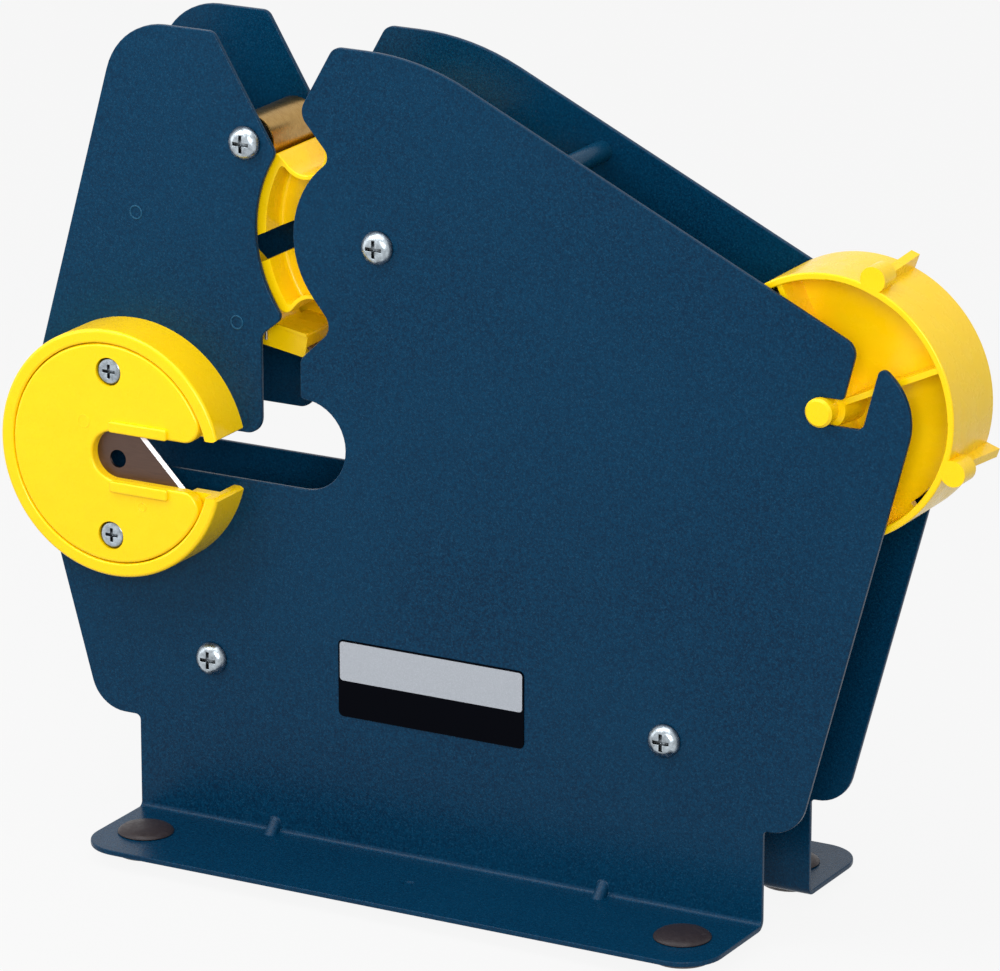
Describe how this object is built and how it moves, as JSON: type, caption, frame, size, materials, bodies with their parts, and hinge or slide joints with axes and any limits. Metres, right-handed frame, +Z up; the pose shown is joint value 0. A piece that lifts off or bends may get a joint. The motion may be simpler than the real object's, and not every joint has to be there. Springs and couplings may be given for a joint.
{
  "type": "bag neck sealer",
  "caption": "Bench bag neck sealer: two folded painted side plates, yellow tape drum, slotted star wheel, brass pressing roller, and a guarded blade that trims the bag top.",
  "frame": {"origin": "on the ground under the feet, midway between the two side plates, a little left of the middle of the base", "axes": "+X along the base towards the tape drum, +Y from the guarded front plate to the rear plate, +Z up"},
  "size_m": [0.2905, 0.1024, 0.2363],
  "materials": {
    "plate_paint": "fine-textured dark blue powder coat",
    "yellow_plastic": "glossy moulded yellow",
    "foot_rubber": "satin dark brown-black",
    "bright_steel": "bright zinc plated",
    "rod_paint": "satin blue",
    "roller_brass": "turned",
    "bush_plastic": "matt black",
    "blade_steel": "ground",
    "spring_steel": "drawn wire"
  },
  "bodies": {
    "frame": {"front_plate": "plate_paint", "rear_plate": "plate_paint", "foot_front_left": "foot_rubber", "foot_front_right": "foot_rubber", "foot_rear_left": "foot_rubber", "foot_rear_right": "foot_rubber", "plate_screws": "bright_steel", "lock_nuts": "bright_steel", "lower_left_spacer": "bright_steel", "lower_right_spacer": "bright_steel", "roller_axle_tube": "bright_steel", "wheel_axle_tube": "bright_steel", "tape_guide_rod": "rod_paint", "guide_rod_screw": "bright_steel", "lever_pin": "plate_paint", "stop_pin": "plate_paint", "trim_guard": "yellow_plastic", "trim_guard_cover": "yellow_plastic", "trim_blade": "blade_steel", "guard_screws": "bright_steel", "guard_nuts": "bright_steel"},
    "roller": {"brass_roller": "roller_brass", "roller_bushes": "bush_plastic"},
    "wheel": {"star_wheel": "yellow_plastic"},
    "drum": {"tape_drum": "yellow_plastic"},
    "lever": {"knife_lever": "yellow_plastic", "tape_knife": "blade_steel", "lever_spring": "spring_steel"}
  },
  "joints": [
    {"name": "roller_spin", "type": "hinge", "parent": "frame", "child": "roller", "pos_m": [-0.0712, 0, 0.2062], "axis": [0, 1, 0], "continuous": true},
    {"name": "wheel_spin", "type": "hinge", "parent": "frame", "child": "wheel", "pos_m": [-0.0293, 0, 0.1818], "axis": [0, 1, 0], "continuous": true},
    {"name": "drum_spin", "type": "hinge", "parent": "frame", "child": "drum", "pos_m": [0.106, 0, 0.1548], "axis": [0, 1, 0], "continuous": true},
    {"name": "lever_swing", "type": "hinge", "parent": "frame", "child": "lever", "pos_m": [-0.0746, 0, 0.1544], "axis": [0, 1, 0], "range_deg": [0, 30], "stiffness_Nm_per_rad": 0.02, "springref_deg": -17.19}
  ]
}
